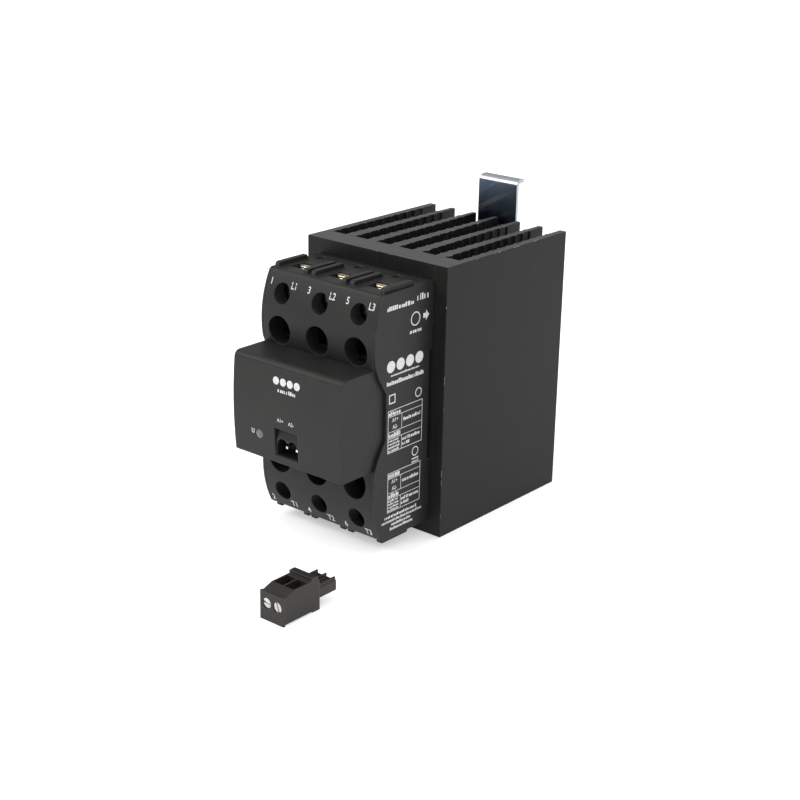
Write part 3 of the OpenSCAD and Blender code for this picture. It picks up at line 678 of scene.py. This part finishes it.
class Print:
    """White pad printing: thin closed shapes that follow the surface below them.

    Shapes are drawn in (u, v) millimetres. place(u, v) gives a point in front of the surface,
    and inward the direction in which the surface lies.
    """

    def __init__(self, surface, place, inward):
        self.surface = surface
        self.place = place
        self.inward = Vector(inward)
        self.verts = []
        self.faces = []

    def drop(self, u, v):
        """The surface point below (u, v), or None beside the surface."""
        return self.surface.ray_cast(self.place(u, v), self.inward, PRINT_REACH)[0]

    def add_layers(self, hits):
        """Adds the ink's upper and lower points over the surface points."""
        first = len(self.verts)
        self.verts.extend(hit - self.inward * INK_DEPTH for hit in hits)
        self.verts.extend(hit + self.inward * INK_DEPTH * 0.5 for hit in hits)
        return first, len(hits)

    def prism(self, loops, caps):
        """A closed thin solid from loops of (u, v); each cap lists points of all the loops."""
        hits = [self.drop(u, v) for loop in loops for u, v in loop]
        if any(hit is None for hit in hits):
            return
        first, count = self.add_layers(hits)
        for cap in caps:
            self.faces.append(tuple(first + i for i in cap))
            self.faces.append(tuple(first + count + i for i in reversed(cap)))
        start = first
        for loop in loops:
            n = len(loop)
            for i in range(n):
                a, b = start + i, start + (i + 1) % n
                self.faces.append((b, a, a + count, b + count))
            start += n

    def bar(self, u0, v0, u1, v1):
        self.outline(box_loop(u0, v0, u1, v1))

    def outline(self, loop):
        self.prism([loop], [tuple(range(len(loop)))])

    def disc(self, u, v, r):
        self.outline(round_loop(u, v, r))

    def ring(self, outer, inner):
        """A band between two loops with the same number of points."""
        n = len(outer)
        self.prism([outer, inner], [(i, (i + 1) % n, n + (i + 1) % n, n + i) for i in range(n)])

    def frame(self, u0, v0, u1, v1, t):
        self.ring(box_loop(u0, v0, u1, v1), box_loop(u0 + t, v0 + t, u1 - t, v1 - t))

    def circle(self, u, v, r, t):
        self.ring(round_loop(u, v, r), round_loop(u, v, r - t))

    def dashes(self, u0, u1, v, height, longest=0.95, space=0.3):
        """A line of small plain bars, as high as letters, in place of small print."""
        u = u0
        while u < u1 - SHORTEST_BAR:
            end = min(u1, u + random.uniform(0.4, 1.0) * longest)
            if u1 - end < SHORTEST_GAP:
                end = u1
            top = height * random.choice((0.72, 0.74, 1.0))
            self.bar(u, v - height / 2, end, v - height / 2 + top)
            u = end + space * random.choice((0.8, 0.8, 0.8, 1.8))

    def text(self, words, u, v, height, stretch=0.88, weight=0.035):
        """Terminal numbers and letters, centred on (u, v)."""
        curve = bpy.data.curves.new("lettering", "FONT")
        curve.body = words
        curve.size = height / CAPITAL_SHARE
        curve.offset = weight
        curve.align_x = "CENTER"
        curve.align_y = "CENTER"
        curve.resolution_u = 3
        curve.fill_mode = "FRONT"
        holder = bpy.data.objects.new("lettering", curve)
        bpy.context.scene.collection.objects.link(holder)
        graph = bpy.context.evaluated_depsgraph_get()
        flat = bpy.data.meshes.new_from_object(holder.evaluated_get(graph))
        bpy.data.objects.remove(holder)
        bpy.data.curves.remove(curve)
        self.solid_from(flat, u, v, stretch)
        bpy.data.meshes.remove(flat)

    def solid_from(self, flat, u, v, stretch):
        """Thickens a flat mesh into closed thin solids that follow the surface."""
        work = bmesh.new()
        work.from_mesh(flat)
        bmesh.ops.remove_doubles(work, verts=work.verts, dist=POINT_GAP)
        hits = [self.drop(u + w.co.x * stretch, v + w.co.y) for w in work.verts]
        work.verts.index_update()
        if all(hit is not None for hit in hits):
            first, count = self.add_layers(hits)
            for face in work.faces:
                loop = [w.index for w in face.verts]
                self.faces.append(tuple(first + i for i in loop))
                self.faces.append(tuple(first + count + i for i in reversed(loop)))
            for edge in work.edges:
                if len(edge.link_faces) == 1:
                    a, b = (first + w.index for w in edge.verts)
                    self.faces.append((b, a, a + count, b + count))
        work.free()

    def make(self, name):
        add_piece(name, self.verts, self.faces, INK, "black_plastic", "relay", smooth=False)


front = surface_of(["terminal_cover_top", "control_cover", "terminal_cover_bottom"])
side = surface_of(["housing_frame"])


def in_front(u, v):
    """A point in front of the nose, at width u and height v."""
    return Vector((u * MM, nose_lo.y - PRINT_START, v * MM))


def beside(u, v):
    """A point to the right of the housing, at depth u and height v."""
    return Vector((house_hi.x + PRINT_START, u * MM, v * MM))


def terminal_marks(name, height, numbers, letters, number_u, letter_u):
    """A number to the left of each small well and a letter mark to its right."""
    marks = Print(front, in_front, (0, 1, 0))
    for x, number, letter in zip(pole_x, numbers, letters):
        marks.text(number, x / MM + number_u, height, TERMINAL_TEXT)
        marks.text(letter, x / MM + letter_u, height, TERMINAL_TEXT)
    marks.make(name)


terminal_marks("print_line_terminals", 97.75, "135", ("L1", "L2", "L3"), -6.3, 5.3)
terminal_marks("print_load_terminals", 8.9, "246", ("T1", "T2", "T3"), -6.7, 4.7)

# Places on the nose and on the side label are measured on the photo
nose = Print(front, in_front, (0, 1, 0))
for step in (-1.5, -0.5, 0.5, 1.5):
    nose.disc(0.1 + 3.5 * step, 67.7, 1.5)
nose.dashes(-4.1, 4.7, 64.3, 1.5, 1.0, 0.35)
nose.text("A1+", -2.7, 52.5, 1.5, 0.9, 0.02)
nose.text("A2-", 2.8, 52.3, 1.5, 0.9, 0.02)
nose.text("U", -17.1, 44.9, 1.9, 0.85, 0.05)
nose.make("print_control_nose")


TABLE_BORDER = 0.24
TABLE_MARGIN = 0.45
TABLE_HALF_LINE = 0.1
# Heights of the lines between rows, as shares of the table from its top
TABLE_ROWS = (0.15, 0.51, 0.67)
SMALL_LINES = 4


def label_table(label, u0, v0, u1, v1):
    """A framed table of the side label: two narrow headings, each above a row in two columns."""
    wide, tall, line = u1 - u0, v1 - v0, TABLE_HALF_LINE
    left, right = u0 + TABLE_BORDER, u1 - TABLE_BORDER
    text_left = u0 + TABLE_MARGIN
    label.frame(u0, v0, u1, v1, TABLE_BORDER)
    head, upper, second = (v1 - tall * share for share in TABLE_ROWS)
    for v in (head, upper, second):
        label.bar(left, v - line, right, v + line)
    column = u0 + 0.4 * wide
    for top, bottom in ((head, upper), (second, v0 + 0.14)):
        label.bar(column - line, bottom + line, column + line, top - line)
    for top, bottom in ((v1 - TABLE_BORDER, head), (upper, second)):
        text_right, middle = u0 + 0.36 * wide, (top + bottom) / 2
        label.dashes(text_left, text_right, middle, 0.7 * (top - bottom), 0.85, 0.22)
    middle = (head + upper) / 2
    for words, rise in (("A1+", 1.4), ("A2-", -1.4)):
        label.text(words, u0 + 0.21 * wide, middle + rise, 1.6, 0.9, 0.02)
    label.dashes(column + 0.9, u1 - 1.2, middle + 0.4, 1.4)
    step = (second - v0 - 0.3) / SMALL_LINES
    for row in range(SMALL_LINES):
        v = second - 0.1 - step * (row + 0.5)
        label.dashes(text_left, u0 + 0.34 * wide, v, 0.68 * step, 0.7, 0.22)
    label.dashes(column + 0.5, u1 - 1.0, second - 1.5 * step + 0.3, 1.3)
    value_right = column + 0.42 * (u1 - column)
    label.dashes(column + 0.5, value_right, second - 3.0 * step + 0.3, 1.2)


label = Print(side, beside, (-1, 0, 0))
label.dashes(-64.2, -49.4, 96.8, 1.7, 1.2, 0.3)
label.dashes(-47.4, -40.9, 97.9, 2.5, 1.1, 0.6)
label.circle(-48.1, 90.0, 2.7, 0.45)
arrow_tip = [(-42.1, 88.1), (-40.2, 90.1), (-42.1, 92.1)]
label.outline([(-43.7, 89.2), (-42.1, 89.2), *arrow_tip, (-42.1, 91.0), (-43.7, 91.0)])
label.dashes(-51.2, -44.6, 85.4, 1.5, 1.1, 0.35)
for step in range(4):
    label.disc(-61.6 + 5.4 * step, 74.5, 2.3)
label.dashes(-61.6, -45.4, 71.0, 0.75, 0.8, 0.16)
label.dashes(-63.8, -42.7, 68.2, 1.7, 1.0, 0.26)
label.circle(-45.4, 60.6, 1.9, 0.4)
label.frame(-62.4, 60.0, -58.8, 63.6, 0.45)
label_table(label, -62.8, 40.5, -42.9, 57.4)
label.circle(-46.6, 37.2, 1.9, 0.4)
for height in (34.4, 33.1):
    label.dashes(-48.4, -44.6, height, 0.85, 0.8, 0.2)
label_table(label, -62.4, 16.3, -43.3, 32.4)
address_lines = ((-63.8, -44.6), (-65.4, -42.2), (-59.8, -48.2), (-60.6, -47.4))
for row, (start, end) in enumerate(address_lines):
    label.dashes(start, end, 14.5 - 1.75 * row, 1.15, 0.9, 0.22)
label.make("print_side_label")
